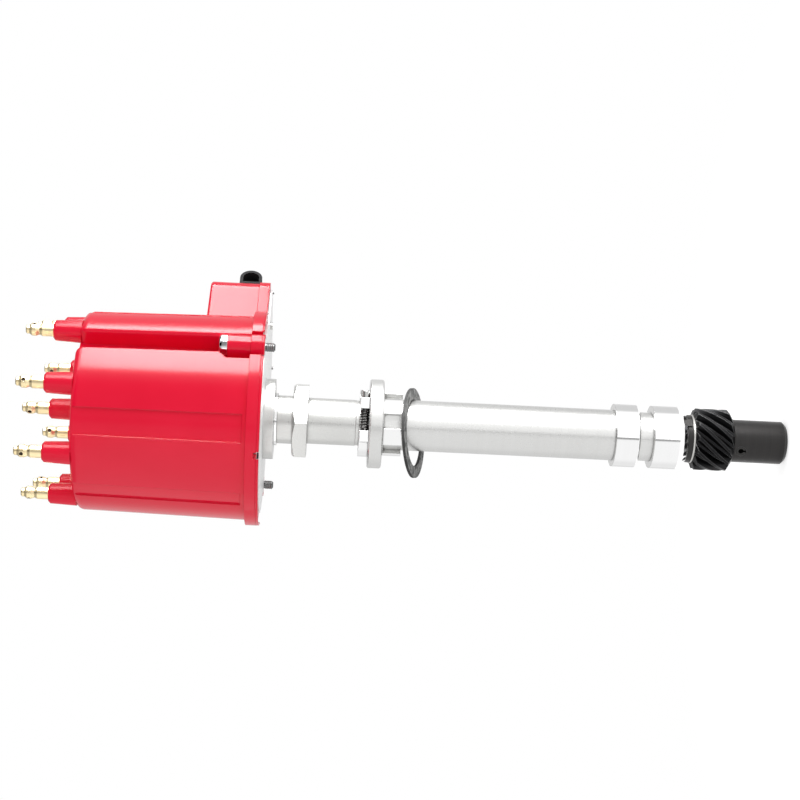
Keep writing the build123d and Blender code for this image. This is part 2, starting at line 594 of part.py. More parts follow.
for side, count in ((-1, 2), (1, 4)):
    for k in range(count):
        dz = (k % 2 - 0.5) * BLADE_STEP_Z
        dx = (k // 2 - (count / 2 - 1) / 2) * BLADE_STEP_X
        y = side * (connector_l / 2 - SOCKET_DEPTH + BLADE_L / 2 + SEAT)
        blades.append(Pos(sock_mid + dx, y, conn_z + dz) * Box(BLADE_T, BLADE_L, BLADE_W))
parts["module_blades"] = Compound(children=[Compound(b.solids()) for b in blades])
screws, pins = [], []
for side in (-1, 1):
    top = module_z + MODULE_BASE_T + SEAT
    shank_l = top - plate_z + TIP_BELOW_PLATE
    s = Pos(MODULE_SCREW_X, side * module_screw_y, top - shank_l / 2) * Cylinder(MODULE_SCREW_D / 2, shank_l)
    s += Pos(MODULE_SCREW_X, side * module_screw_y, top + MODULE_SCREW_HEAD_H / 2) * Cylinder(
        MODULE_SCREW_HEAD_D / 2, MODULE_SCREW_HEAD_H)
    screws.append(s)
    pin_l = PLATE_H + 2 * MODULE_PIN_PROUD
    pins.append(Pos(MODULE_PIN_X, side * module_pin_y, plate_z + PLATE_H / 2) * Cylinder(
        MODULE_PIN_D / 2, pin_l))
parts["module_screws"] = Compound(children=screws)
parts["module_pins"] = Compound(children=pins)

# ---------------------------------------------------------------- cap
lip_top = cap_z + CAP_LIP_H
with BuildPart() as cb:
    with BuildSketch(Plane.XZ):
        with BuildLine():
            Polyline((0, cap_z), (CAP_LIP_D / 2, cap_z), (CAP_LIP_D / 2, lip_top),
                     (CAP_BASE_D / 2, lip_top), (CAP_TOP_D / 2, cap_top), (0, cap_top), close=True)
        make_face()
    revolve(axis=Axis.Z)
cap = cb.part
box = rounded_block(0, BOX_REACH, box_w, BOX_CORNER, cap_z, BOX_H)
box = fillet(box.edges().group_by(Axis.Z)[-1].filter_by(lambda e: e.center().X > 1), BOX_EDGE_ROUND)
cap += box
cap += rounded_block(0, BOX_REACH + BOX_LIP, box_w + 2 * BOX_LIP, BOX_CORNER + BOX_LIP, cap_z, CAP_LIP_H)
seat_z = cap_z + SCREW_SEAT_H
half = CHANNEL_W / 2
slot_outline = Polyline((half, cap_z - 1), (half, cap_top + 1), (-half, cap_top + 1),
                        (-half, seat_z + CHANNEL_SLOPE), (-CHANNEL_SIDE, seat_z),
                        (-CHANNEL_SIDE, cap_z - 1), close=True)
slot_cut = extrude(make_face(Plane.XZ * slot_outline), channel_cut)     # towards -Y
for turn in (0, 180):
    # slot down the whole side, with the screw boss standing in it up to the seat
    cap -= around(turn, Pos(0, -CHANNEL_FLOOR_R, 0) * slot_cut)
rim_edges = cap.edges().filter_by(lambda e: abs(abs(e.center().X) - half) < 0.05
                                  and e.length > CAP_H / 2 and abs(e.center().Y) > SCREW_R - 3)
cap = fillet(rim_edges, CHANNEL_EDGE)
for side in (-1, 1):
    cap += Pos(0, side * SCREW_R, cap_z + SCREW_SEAT_H / 2) * Cylinder(SCREW_BOSS_D / 2, SCREW_SEAT_H)
    cap += Pos(0, side * SCREW_R, cap_z + CAP_LIP_H / 2) * Cylinder(SCREW_BOSS_D / 2 + BOX_LIP, CAP_LIP_H)
    web = SCREW_R - CHANNEL_FLOOR_R + MERGE
    cap += Pos(0, side * (SCREW_R - web / 2), cap_z + SCREW_SEAT_H / 2) * Box(SCREW_BOSS_D, web, SCREW_SEAT_H)
cap = Part([cap.solids().sort_by(SortBy.VOLUME)[-1]])
top_edges = cap.edges().filter_by(GeomType.CIRCLE).filter_by(
    lambda e: abs(e.center().Z - cap_top) < 0.01 and e.radius > CAP_TOP_D / 2 - 0.1)
cap = fillet(top_edges, CAP_TOP_ROUND)
# shallow panels on the side, between the towers
panel_step = 360 / TOWERS
for k in range(TOWERS):
    a = TOWER_ANGLE + panel_step * (k + 0.5)
    off = (a + 180) % 360 - 180
    if abs(abs(off) - 90) < 20:
        continue
    width = GROOVE_NARROW if abs(off) > 150 else GROOVE_ANGLE
    z0 = cap_z + BOX_H + GROOVE_TOP if abs(off) < 48 else lip_top + GROOVE_TOP
    draft = (CAP_BASE_D - CAP_TOP_D) / 2 / (cap_top - lip_top)
    r0 = CAP_BASE_D / 2 - draft * (z0 - lip_top) - GROOVE_DEPTH
    r1 = CAP_TOP_D / 2 - GROOVE_DEPTH
    face = make_face(Plane.XZ * Polyline((r0, z0), (r0 + 8, z0), (r1 + 8, cap_top + 1), (r1, cap_top + 1),
                                         close=True))
    cap -= around(a - width / 2, revolve(face, Axis.Z, width))
# towers
def tower(x, y, h):
    t = Pos(x, y, cap_top + (h - MERGE) / 2) * Cone(TOWER_BASE_D / 2, TOWER_TIP_D / 2, h + MERGE)
    return chamfer(t.edges().group_by(Axis.Z)[-1], TOWER_CHAMFER)


tower_r = TOWER_PCD / 2
spots = [(tower_r * math.cos(math.radians(TOWER_ANGLE + panel_step * k)),
          tower_r * math.sin(math.radians(TOWER_ANGLE + panel_step * k))) for k in range(TOWERS)]
for x, y in spots:
    cap += tower(x, y, TOWER_H)
cap += tower(0, 0, TOWER_H + COIL_TOWER_EXTRA)
# hollow inside: skirt, crown bore, centre pillar, module box
skirt_bore = CAP_BASE_D / 2 - CAP_WALL
ledge_top = plate_top + SEAT + LEDGE_H
hollow = disc(2 * skirt_bore, ledge_top, crown_z - ledge_top)
hollow += disc(PLATE_D - 2 * LEDGE_W, cap_z - 1, ledge_top - cap_z + 1)
for turn in (0, 180):
    keep = Pos((half - CHANNEL_SIDE) / 2, CAP_WALL - CHANNEL_FLOOR_R - channel_cut / 2, cap_z) * Box(
        half + CHANNEL_SIDE + 2 * CAP_WALL, channel_cut, 2 * CAP_H)
    hollow -= around(turn, keep)
hollow += disc(CROWN_BORE_D, crown_z - 1, roof_z - crown_z + 1) - disc(PILLAR_D, pillar_z, PILLAR_H + 1)
hollow += rounded_block(0, BOX_REACH - BOX_WALL, box_w - 2 * BOX_WALL, BOX_CORNER - BOX_WALL,
                        cap_z - 1, BOX_H - BOX_WALL + 1)
cap -= hollow
# pocket over the rim of the plate, over its ears and screws
cap -= disc(PLATE_D + 2 * FIT, cap_z - 1, CAP_SINK + SEAT + 1)
cap -= Pos(BOX_REACH, 0, conn_z) * Box(4 * BOX_WALL, connector_l + 2 * DROP, CONNECTOR_W + 2 * DROP)
for side in (-1, 1):
    cap -= Pos(0, side * SCREW_R, cap_z + (CAP_SINK + SEAT - 1) / 2) * Cylinder(
        EAR_D / 2 + FIT, CAP_SINK + SEAT + 1)
    cap -= Pos(0, side * SCREW_R, cap_z + SCREW_SEAT_H / 2) * Cylinder(
        CAP_SCREW_D / 2 + FIT, 2 * SCREW_SEAT_H)
# drain notch in the foot
cap -= around(VENT_ANGLE, Pos(CAP_LIP_D / 2, 0, cap_z) * Box(CAP_LIP_D / 4, VENT_W, 2 * VENT_H))
# bores for the terminals and the button
el_z = crown_z + ELECTRODE_UP
for x, y in spots:
    cap -= Pos(x, y, (el_z + tower_top) / 2) * Cylinder(STEM_D / 2 + SEAT, tower_top - el_z + 6)
cap -= disc(STEM_D + 2 * SEAT, roof_z - 1, coil_tower_top - roof_z + 3)
coil_stem_z = roof_z + BUTTON_TOP_DEPTH
cap -= disc(BUTTON_D + 2 * RUN, pillar_z - 1, coil_stem_z - pillar_z + 1)
foot_in = CROWN_BORE_D / 2 - ELECTRODE_PROUD
for k in range(TOWERS):
    foot_l = tower_r + STEM_D / 2 - foot_in
    slot = Pos(foot_in + foot_l / 2 - 1, 0, el_z + ELECTRODE_H / 2 - 2) * Box(
        foot_l + 2 + 2 * SEAT, ELECTRODE_W + 2 * SEAT, ELECTRODE_H + 4 + 2 * SEAT)
    cap -= around(TOWER_ANGLE + panel_step * k, slot)
parts["cap"] = cap


# ---------------------------------------------------------------- terminals
def post_profile(z0, z_base, z_tip):
    """Half section of a plug terminal: stem in the tower, neck, bulb and tip outside."""
    foot, neck, bulb_low, bulb_high, tip_low, tip_edge = (z_tip - level for level in POST_LEVELS)
    return [(0, z0), (STEM_D / 2, z0), (STEM_D / 2, z_base + SEAT), (POST_D / 2, z_base + SEAT),
            (POST_D / 2, foot), (POST_NECK_D / 2, neck), (POST_BULB_D / 2, bulb_low),
            (POST_BULB_D / 2, bulb_high), (POST_TIP_D / 2, tip_low), (POST_TIP_D / 2, tip_edge),
            (POST_TIP_D / 2 - POST_LEVELS[-1], z_tip), (0, z_tip)]


def post(z0, z_base, z_tip):
    p = turned(post_profile(z0, z_base, z_tip))
    hole_z = z_tip - (POST_LEVELS[2] + POST_LEVELS[3]) / 2
    return p - Pos(0, 0, hole_z) * Rot(0, 90, 0) * Cylinder(POST_HOLE_D / 2, 2 * POST_D)


terminals = []
for k in range(TOWERS):
    t = Pos(tower_r, 0, 0) * post(el_z, tower_top, tower_top + POST_L)
    foot_l = tower_r - foot_in
    t += Pos(foot_in + foot_l / 2, 0, el_z + ELECTRODE_H / 2) * Box(foot_l, ELECTRODE_W, ELECTRODE_H)
    terminals.append(around(TOWER_ANGLE + panel_step * k, t))
parts["spark_terminals"] = Compound(children=terminals)
parts["coil_terminal"] = post(coil_stem_z + SEAT, coil_tower_top, coil_tower_top + POST_L)

# ---------------------------------------------------------------- carbon button and its spring
button_z = pillar_z - BUTTON_PROUD
button_top = button_z + BUTTON_L
button = disc(BUTTON_D, button_z, BUTTON_L)
parts["carbon_button"] = fillet(button.edges().group_by(Axis.Z)[0], BUTTON_ROUND)
spring_h = coil_stem_z - button_top
spring_r = BUTTON_D / 2 - SPRING_WIRE
pitch = (spring_h - SPRING_WIRE - 2 * SEAT) / (SPRING_TURNS - 1)
with BuildPart() as sb:
    with BuildLine() as helix:
        Helix(pitch=pitch, height=pitch * (SPRING_TURNS - 1), radius=spring_r,
              center=(0, 0, button_top + SEAT + SPRING_WIRE / 2))
    with BuildSketch(Plane(origin=helix.line @ 0, z_dir=helix.line % 0)):
        Circle(SPRING_WIRE / 2)
    sweep(is_frenet=True)
parts["button_spring"] = sb.part

# ---------------------------------------------------------------- rotor
blade_top = button_z - CONTACT_BELOW_BUTTON
blade_z = blade_top - BLADE_STRIP_T
rotor_top = blade_z - SEAT
rotor = disc(ROTOR_D, rotor_top - ROTOR_DISC_T, ROTOR_DISC_T)
rotor += ring(ROTOR_SKIRT_D, ROTOR_SKIRT_D - 2 * ROTOR_WALL, rotor_top - ROTOR_SKIRT_H, ROTOR_SKIRT_H)
rotor += disc(ROTOR_HUB_D, rotor_top - ROTOR_HUB_H, ROTOR_HUB_H)
web_l = (ROTOR_SKIRT_D - ROTOR_HUB_D) / 2
for k in range(ROTOR_WEBS):
    rotor += around(360 * k / ROTOR_WEBS, Pos(
        ROTOR_HUB_D / 2 + web_l / 2 - MERGE, 0, rotor_top - ROTOR_DISC_T - ROTOR_WEB_H / 2 + MERGE) * Box(
        web_l, ROTOR_WALL, ROTOR_WEB_H))
hub_foot = rotor_top - ROTOR_HUB_H - 1
hub_bore = disc(SHAFT_D + 2 * SEAT, hub_foot, shaft_top + SEAT - hub_foot)
hub_bore -= Pos(SHAFT_D - SHAFT_FLAT + SEAT, 0, shaft_top - SHAFT_FLAT_H / 2) * Box(
    SHAFT_D, SHAFT_D, SHAFT_FLAT_H - 2 * SEAT)
rotor -= hub_bore
rotor = Part([rotor.solids().sort_by(SortBy.VOLUME)[-1]])
parts["rotor"] = rotor
blade_r = foot_in - SPARK_GAP
strip_l = blade_r + BLADE_STRIP_W / 2
strip = Pos(blade_r - strip_l / 2, 0, blade_z + BLADE_STRIP_T / 2) * Box(
    strip_l, BLADE_STRIP_W, BLADE_STRIP_T)
strip &= disc(2 * blade_r, blade_z, BLADE_STRIP_T)
parts["rotor_blade"] = around(TOWER_ANGLE, strip)

# ---------------------------------------------------------------- cap screws
cap_screws = []
for side in (-1, 1):
    shank_top = seat_z + SEAT
    shank_l = shank_top - plate_z + CAP_SCREW_TIP
    s = Pos(0, side * SCREW_R, shank_top - shank_l / 2) * Cylinder(CAP_SCREW_D / 2, shank_l)
    s = chamfer(s.edges().group_by(Axis.Z)[0], CAP_SCREW_POINT)
    head = Pos(0, side * SCREW_R, shank_top + CAP_SCREW_HEAD_H / 2) * Cylinder(
        CAP_SCREW_HEAD_D / 2, CAP_SCREW_HEAD_H)
    head = fillet(head.edges().group_by(Axis.Z)[-1], CAP_SCREW_HEAD_ROUND)
    for a in (0, 90):
        head -= Pos(0, side * SCREW_R, shank_top + CAP_SCREW_HEAD_H) * Rot(0, 0, a) * Box(
            CROSS_L, CROSS_W, 2 * CROSS_DEPTH)
    cap_screws.append(s + head)
parts["cap_screws"] = Compound(children=cap_screws)

for name, shape in parts.items():
    export_step(shape, f"parts/{name}.step")
    box_ = shape.bounding_box()
    print(f"{name:18s} solids {len(shape.solids()):2d}  z {box_.min.Z:8.2f} {box_.max.Z:8.2f}")
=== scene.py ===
import math

import bpy
from mathutils import Matrix, Vector


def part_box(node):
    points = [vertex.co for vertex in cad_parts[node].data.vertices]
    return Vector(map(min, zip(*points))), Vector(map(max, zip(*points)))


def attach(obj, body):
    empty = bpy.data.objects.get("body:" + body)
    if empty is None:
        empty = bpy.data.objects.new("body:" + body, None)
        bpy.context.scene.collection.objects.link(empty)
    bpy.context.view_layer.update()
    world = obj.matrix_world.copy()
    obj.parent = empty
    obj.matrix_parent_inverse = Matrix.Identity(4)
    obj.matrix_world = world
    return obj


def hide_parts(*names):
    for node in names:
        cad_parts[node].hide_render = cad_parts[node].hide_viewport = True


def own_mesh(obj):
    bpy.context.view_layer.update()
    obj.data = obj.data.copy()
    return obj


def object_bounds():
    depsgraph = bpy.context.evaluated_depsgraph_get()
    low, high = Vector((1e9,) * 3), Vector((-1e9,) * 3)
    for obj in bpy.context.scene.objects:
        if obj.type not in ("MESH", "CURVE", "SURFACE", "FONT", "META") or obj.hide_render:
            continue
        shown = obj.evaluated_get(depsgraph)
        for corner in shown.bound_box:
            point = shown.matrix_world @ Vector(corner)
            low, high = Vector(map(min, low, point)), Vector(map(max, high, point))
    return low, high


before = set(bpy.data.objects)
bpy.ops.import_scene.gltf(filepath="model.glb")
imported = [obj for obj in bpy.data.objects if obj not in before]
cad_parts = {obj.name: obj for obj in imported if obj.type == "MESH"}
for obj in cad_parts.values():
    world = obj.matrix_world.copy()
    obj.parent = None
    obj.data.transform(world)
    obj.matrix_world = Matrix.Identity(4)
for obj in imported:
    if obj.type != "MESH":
        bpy.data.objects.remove(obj)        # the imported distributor, in metres, +Z along the shaft towards the cap
cad_low, cad_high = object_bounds()

# ---------------------------------------------------------------- camera, in metres and radians
AXIS_TURN = math.radians(46.2)      # the camera's up direction, turned from +X about the shaft
CAMERA_DISTANCE = 0.8504
CAMERA_LEVEL = 0.0263               # height of the point that the camera stands beside
CAMERA_RISE = 0.012                 # towards the camera's up direction
CAMERA_TURN = 0.0407                # towards the gear
CAMERA_TILT = 0.0147
CAMERA_ROLL = 0.0476
CAMERA_SENSOR = 36                  # millimetres
CAMERA_LENS = 76.43                 # millimetres

# ---------------------------------------------------------------- floor, world and lamps
FLOOR_LEVEL = cad_low.z - 0.0003
FLOOR_RADIUS = 0.24
FLOOR_PAPER = 0.58                  # what the floor gives back of the light
FLOOR_GLOW = 0.62                   # what it shows on top of that, to lift it to white
WORLD_LEVEL = 0.86                  # what the world adds to matt surfaces
MIRRORED_LEVEL = 0.95               # what polished metal sees of it
# Panels round the shaft that polished metal sees: from, to and softness in degrees above the
# camera's side, and how much lighter or darker than the rest.
PANELS = (
    (40.0, 100.0, 6.0, 0.25),
    (102.0, 152.0, 8.0, -0.28),
    (152.0, 190.0, 8.0, -0.20),
    (-4.0, 38.0, 4.0, -0.62),
    (-13.0, -6.0, 1.0, -0.62),
    (-150.0, -108.0, 12.0, -0.12),
    (-190.0, -150.0, 8.0, -0.22),
)
CAP_END_RAYS = (0.3, 0.6)           # rise along the shaft of the rays that look past the cap's end
CAP_END = -0.48                     # how much darker polished metal sees the world there
LAMP_WATTS = 4.0                    # per square metre, at a radiance of 1
# Lamps: name, degrees above the camera's side, distance from the shaft, size along and across it,
# radiance, height along the shaft, and True where it shows in polished surfaces alone.
LAMPS = (
    ("strip", 64.5, 0.8, (1.5, 0.46), 7.0, -0.02, True),
    ("cap_strip", 80.0, 0.35, (0.15, 0.437), 12.0, 0.14, True),
    ("front_card", 17.0, 0.35, (0.342, 0.29), 0.62, -0.099, True),
    ("cap_card", -67.0, 0.35, (0.15, 0.62), 0.6, 0.14, True),
    ("key", 62.0, 0.9, (0.9, 0.6), 1.6, -0.02, False),
)

# ---------------------------------------------------------------- places on the distributor, in metres
PILOT_HIGH = (-0.1279, -0.1159)     # heights of the two ground pilots on the lower tube
PILOT_LOW = (-0.1526, -0.1349)
NECK_RING = (0.0524, 0.0539)        # ground ring on the housing's neck
PLATE = (0.0584, 0.0620)            # base plate under the cap
UPPER_TUBE = (-0.004, 0.02)         # heights over which the satin skin gets darker: painted shade towards the cap
SLEEVE = (-0.0100, -0.0005)         # slotted sleeve of the slip collar
SLEEVE_LAND = 0.0154                # radius beyond which the sleeve is ground
CLAMP = (0.0067, 0.0120)            # clamp ring on the slip collar
GEAR_END = -0.1759                  # where the gear's teeth end and its hub begins
CAP_SCREW_BLACK = (0.0530, 0.0588)  # threaded ends of the cap screws, which are black

PINCH_TURN = math.radians(-129.5)   # where the clamp ring is split, about the shaft
PINCH_REACH = 0.01552               # from the shaft axis to the pinch screw's line
PINCH_LEVEL = 0.00927               # height of that line
PINCH_LINE = (-math.sin(PINCH_TURN), math.cos(PINCH_TURN), 0.0)
PINCH_SHADED_HALF = 0.0055                # half the length of its thread that is painted black, as shade in the clamp's gap

CAP_SCREW_REACH = 0.048             # from the shaft axis to the cap screws and their ears
CAP_THREAD_LEVEL = 0.0564           # height of the middle of their threads
LIP = (0.0524, 0.0534)              # inner and outer radius of the skirt under the cap's lip
EAR = (0.0050, 0.00598)             # the same for the skirt under the ears
SKIRT_EDGE = 0.00035                # width of its broken edges
SKIRT_STEP = math.radians(2.5)      # angle between its sections
SKIRT_TOP = 0.0603
SKIRT_LOW = 0.0589                  # height of its lower edge
SKIRT_HIGH = 0.0595                 # the same on both sides of the module box
# Skirt pieces: name, first and last angle in degrees, lower edge.
SKIRT_ARCS = (
    ("skirt_front", 207.0, 258.4, SKIRT_LOW),
    ("skirt_rear", 128.0, 203.0, SKIRT_LOW),
    ("skirt_right", 276.2, 322.0, SKIRT_HIGH),
    ("skirt_left", 38.0, 78.4, SKIRT_HIGH),
)
GAP_SHADE_TURN = math.radians(205.0)   # where a black block of painted shade sits, in the gap between two skirt pieces
GAP_SHADE_REACH = 0.05275              # from the shaft axis
GAP_SHADE_LEVEL = 0.0593
GAP_SHADE_SIZE = (0.0010, 0.0030, 0.0008)
GAP_SHADE_EDGE = 0.0002                # width of its broken edges

TERMINALS = 8
TERMINAL_HOLE = Vector((0.03775, -0.02101, 0.17125))    # centre of the first plug terminal's cross hole
COIL_HOLE = Vector((0, 0, 0.17485))                     # the same in the coil terminal
# Dark bars of painted shade in the terminals' cross holes.
SHADE_BAR_RADIUS = 0.00094
SHADE_BAR_LENGTH = 0.0056
SHADE_BAR_CUP = ((0.00018, 0.0005), (0.00035, 0.0002))       # each end's insets, and how far they sink

SPRING_WIRE = 0.0005                # thickness
SPRING_COILS = 4
SPRING_STEPS = 32                   # sections in a turn
THREAD_STEPS = 28                   # the same for a screw thread
THREAD_WIDTH = 0.96                 # a ridge's foot, as a share of the pitch

SMOOTH_ANGLE = math.radians(40.0)
DOUBLES = 0.000002                  # points nearer than this are merged
BLEND = 0.0002                      # how softly one finish gives way to another
BEVEL_RAYS = 6                      # rays that the shader's bevel sends
CORNER_RAYS = 8                     # rays that the search for corners sends
SPIN_WAY = -1.0                     # mesh.spin turns against its angle about +Z


def object_direction(up, away, along):
    """Direction in the frame's axes from the camera's own: up, away from it, along the shaft."""
    cosine, sine = math.cos(AXIS_TURN), math.sin(AXIS_TURN)
    return Vector((up * cosine + away * sine, -up * sine + away * cosine, along))


def turn_towards(first, second, angle):
    """The first of two directions at right angles, turned towards the second."""
    return first * math.cos(angle) + second * math.sin(angle)


def build_camera():
    """Level camera beside the shaft, then turned, tilted and rolled."""
    away = object_direction(-math.sin(CAMERA_RISE), math.cos(CAMERA_RISE), 0)
    right = Vector((0, 0, -1))
    look = turn_towards(away, right, CAMERA_TURN)
    right = turn_towards(right, -away, CAMERA_TURN)
    up = right.cross(look)
    look, up = turn_towards(look, up, CAMERA_TILT), turn_towards(up, -look, CAMERA_TILT)
    right, up = turn_towards(right, up, CAMERA_ROLL), turn_towards(up, -right, CAMERA_ROLL)
    data = bpy.data.cameras.new("camera")
    data.lens = CAMERA_LENS
    data.sensor_width = CAMERA_SENSOR
    data.clip_start, data.clip_end = 0.01, 20
    camera = bpy.data.objects.new("camera", data)
    bpy.context.collection.objects.link(camera)
    place = -away * CAMERA_DISTANCE + Vector((0, 0, CAMERA_LEVEL))
    camera.matrix_world = Matrix.Translation(place) @ Matrix((right, up, -look)).transposed().to_4x4()
    bpy.context.scene.camera = camera


# ---------------------------------------------------------------- nodes
def shade(colour, factor):
    """Colour made darker or lighter."""
    return tuple(min(1.0, level * factor) for level in colour)


def grey(level):
    """Neutral colour, as a socket takes it."""
    return (level, level, level, 1.0)


class Nodes:
    """Adds nodes to a tree. Where a value is a socket it is linked, and otherwise it is set."""

    def __init__(self, tree):
        self.tree = tree

    def fill(self, socket, value):
        """Links a socket to another, or sets it."""
        if isinstance(value, bpy.types.NodeSocket):
            self.tree.links.new(value, socket)
        else:
            socket.default_value = value

    def put(self, kind, inputs=None, **settings):
        """A new node with its properties and input sockets set."""
        made = self.tree.nodes.new("ShaderNode" + kind)
        for name, value in settings.items():
            setattr(made, name, value)
        for name, value in (inputs or {}).items():
            self.fill(made.inputs[name], value)
        return made

    def maths(self, operation, *values):
        """Result of an operation on numbers."""
        return self.put("Math", dict(enumerate(values)), operation=operation).outputs[0]

    def vector(self, operation, *values):
        """Result of an operation on vectors."""
        made = self.put("VectorMath", dict(enumerate(values)), operation=operation)
        return made.outputs["Value" if operation in ("DOT_PRODUCT", "LENGTH") else "Vector"]

    def from_axis(self, place):
        """Distance of a place from the shaft axis."""
        return self.vector("LENGTH", self.vector("MULTIPLY", place, (1, 1, 0)))

    def mix(self, mask, first, second):
        """The first colour where the mask is 0, the second where it is 1. The node's sockets go by
        number, because those for numbers and colours share their names."""
        made = self.put("Mix", {0: mask}, data_type="RGBA")
        for index, colour in ((6, first), (7, second)):
            self.fill(made.inputs[index], colour + (1.0,) if isinstance(colour, tuple) else colour)
        return made.outputs[2]

    def ranged(self, value, low, high, to_low=0.0, to_high=1.0, **settings):
        """A value's way from low to high, carried over to another range and held at its ends."""
        return self.put("MapRange", {"Value": value, "From Min": low, "From Max": high,
                                     "To Min": to_low, "To Max": to_high}, **settings).outputs["Result"]

    def band(self, value, low, high, soft=BLEND):
        """Mask that is 1 between two values."""
        rise = self.ranged(value, low - soft, low + soft)
        fall = self.ranged(value, high + soft, high - soft)
        return self.maths("MULTIPLY", rise, fall)


# ---------------------------------------------------------------- shared effects, as node groups
class Effect(Nodes):
    """Node group under construction: a Vector input unless told otherwise, number inputs with their
    defaults, and number outputs."""

    def __init__(self, name, outputs, vector=True, **numbers):
        super().__init__(bpy.data.node_groups.new(name, "ShaderNodeTree"))
        sockets = self.tree.interface
        if vector:
            sockets.new_socket(name="Vector", in_out="INPUT", socket_type="NodeSocketVector")
        for title, default in numbers.items():
            made = sockets.new_socket(name=title, in_out="INPUT", socket_type="NodeSocketFloat")
            made.default_value = default
        for title in outputs:
            sockets.new_socket(name=title, in_out="OUTPUT", socket_type="NodeSocketFloat")
        self.given = self.tree.nodes.new("NodeGroupInput").outputs
        self.result = self.tree.nodes.new("NodeGroupOutput").inputs

    def send(self, title, value):
        """Gives the group's output its value."""
        self.fill(self.result[title], value)


def make_grain():
    """Fine relief of a cast, blasted or moulded skin."""
    group = Effect("skin_grain", ("Height", "Tone"), Scale=900.0, Pits=0.3)
    place, scale = group.given["Vector"], group.given["Scale"]
    noise = group.put("TexNoise", {"Vector": place, "Scale": scale, "Detail": 4.0, "Roughness": 0.62})
    pits = group.put("TexVoronoi", {"Vector": place, "Scale": scale})
    dent = group.ranged(pits.outputs["Distance"], 0.0, 0.55)
    sunk = group.maths("MULTIPLY", group.maths("SUBTRACT", dent, 1.0), group.given["Pits"])
    group.send("Height", group.maths("ADD", noise.outputs["Fac"], sunk))
    broad = group.put("TexNoise", {"Vector": place, "Scale": 38.0, "Detail": 5.0})
    group.send("Tone", group.ranged(broad.outputs["Fac"], 0.3, 0.7))
    return group.tree


def make_turning():
    """Feed marks of a lathe: fine uneven rings about the shaft axis."""
    group = Effect("turning_marks", ("Height", "Tone"), Rings=2600.0)
    place = group.given["Vector"]
    height = group.put("SeparateXYZ", {"Vector": place}).outputs["Z"]
    level = group.maths("ADD", height, group.from_axis(place))
    fine = group.put("TexNoise", {"W": group.maths("MULTIPLY", level, group.given["Rings"]),
                                  "Scale": 1.0, "Detail": 3.0}, noise_dimensions="1D").outputs["Fac"]
    coarse = group.put("TexNoise", {"W": group.maths("MULTIPLY", level, 240.0),
                                    "Scale": 1.0, "Detail": 2.0}, noise_dimensions="1D").outputs["Fac"]
    group.send("Height", fine)
    group.send("Tone", group.maths("MULTIPLY_ADD", fine, 0.5, group.maths("MULTIPLY", coarse, 0.5)))
    return group.tree


def make_handling():
    """Uneven film of oil and handling marks."""
    group = Effect("handling_marks", ("Mask",), Scale=55.0, Cover=0.5)
    noise = group.put("TexNoise", {"Vector": group.given["Vector"], "Scale": group.given["Scale"],
                                   "Detail": 6.0, "Roughness": 0.55, "Distortion": 0.4})
    low = group.maths("SUBTRACT", 0.72, group.maths("MULTIPLY", group.given["Cover"], 0.4))
    group.send("Mask", group.ranged(noise.outputs["Fac"], low, group.maths("ADD", low, 0.18)))
    return group.tree


def make_edges():
    """Mask of the outer edges, where paint and plating wear, and where a painted highlight stands for edges that
    catch the light.
    """
    group = Effect("edge_mask", ("Mask",), vector=False, Reach=0.0004)
    broken = group.put("Bevel", {"Radius": group.given["Reach"]}, samples=BEVEL_RAYS).outputs["Normal"]
    turned = group.vector("DOT_PRODUCT", broken, group.put("NewGeometry").outputs["Normal"])
    group.send("Mask", group.ranged(turned, 0.996, 0.94, interpolation_type="SMOOTHSTEP"))
    return group.tree


def make_corner_shade():
    """Mask of the inner corners, where painted shade darkens the colour."""
    group = Effect("painted_corner_shade", ("Mask",), vector=False, Reach=0.0015)
    sky = group.put("AmbientOcclusion", {"Distance": group.given["Reach"]}, samples=CORNER_RAYS).outputs["AO"]
    group.send("Mask", group.ranged(sky, 0.80, 0.38, interpolation_type="SMOOTHSTEP"))
    return group.tree


GRAIN = make_grain()
TURNING = make_turning()
HANDLING = make_handling()
EDGES = make_edges()
CORNER_SHADE = make_corner_shade()


# ---------------------------------------------------------------- materials
class Finish(Nodes):
    """Material under construction: its object coordinates and its Principled shader."""

    def __init__(self, name, **sockets):
        self.material = bpy.data.materials.new(name)
        self.material.use_nodes = True
        super().__init__(self.material.node_tree)
        self.shader = self.tree.nodes["Principled BSDF"]
        coordinates = self.put("TexCoord").outputs
        self.place, self.facing = coordinates["Object"], coordinates["Normal"]
        self.height = self.put("SeparateXYZ", {"Vector": self.place}).outputs["Z"]
        for title, value in sockets.items():
            self.shader.inputs[title].default_value = value

    def effect(self, group, **inputs):
        """The outputs of a shared effect."""
        made = self.put("Group", node_tree=group)
        if "Vector" in made.inputs:
            inputs["Vector"] = self.place
        for title, value in inputs.items():
            self.fill(made.inputs[title], value)
        return made.outputs

    def weaken(self, mask, strength):
        """A mask made weaker."""
        return self.maths("MULTIPLY", mask, strength)

    def feed(self, title, socket):
        """Gives the shader's socket what changes over the surface."""
        self.fill(self.shader.inputs[title], socket)

    def bump(self, height, depth, edge=0.0):
        """Relief of the skin, over edges that are broken by the given radius."""
        made = self.put("Bump", {"Height": height, "Distance": depth})
        if edge:
            broken = self.put("Bevel", {"Radius": edge}, samples=BEVEL_RAYS)
            self.fill(made.inputs["Normal"], broken.outputs["Normal"])
        self.feed("Normal", made.outputs["Normal"])


def moulded_red():
    """Glossy red moulding of the cap."""
    finish = Finish("cap_red", IOR=1.32)
    grain = finish.effect(GRAIN, Scale=700.0, Pits=0.1)
    marks = finish.effect(HANDLING, Scale=40.0, Cover=0.3)
    finish.feed("Base Color", finish.mix(grain["Tone"], (0.76, 0.0045, 0.032), (0.80, 0.007, 0.038)))
    finish.feed("Roughness", finish.ranged(marks["Mask"], 0, 1, 0.17, 0.24))
    finish.bump(grain["Height"], 0.000015, edge=0.0006)
    return finish.material


